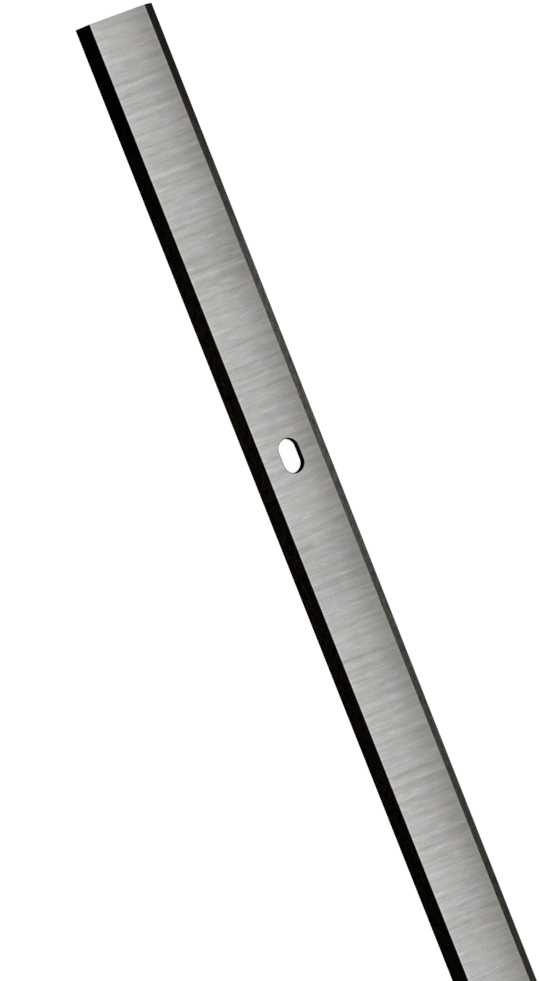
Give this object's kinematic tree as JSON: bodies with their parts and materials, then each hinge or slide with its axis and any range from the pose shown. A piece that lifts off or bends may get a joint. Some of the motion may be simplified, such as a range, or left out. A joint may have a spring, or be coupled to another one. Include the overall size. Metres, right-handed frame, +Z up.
{
  "type": "planer knife",
  "caption": "Reversible planer knife: a flat steel bar with its long edges ground to bevels on one side and oblong locating slots on its centre line.",
  "frame": {"origin": "middle of the flat back, on the surface that the knife lies on", "axes": "+X along the knife, +Y across it from one cutting edge to the other, +Z up from the back to the face between the bevels"},
  "size_m": [0.319, 0.012, 0.0015],
  "materials": {
    "ground_steel": "surface ground across its length, with finer ground bevels"
  },
  "bodies": {
    "root": {"planer_knife": "ground_steel"}
  },
  "joints": []
}
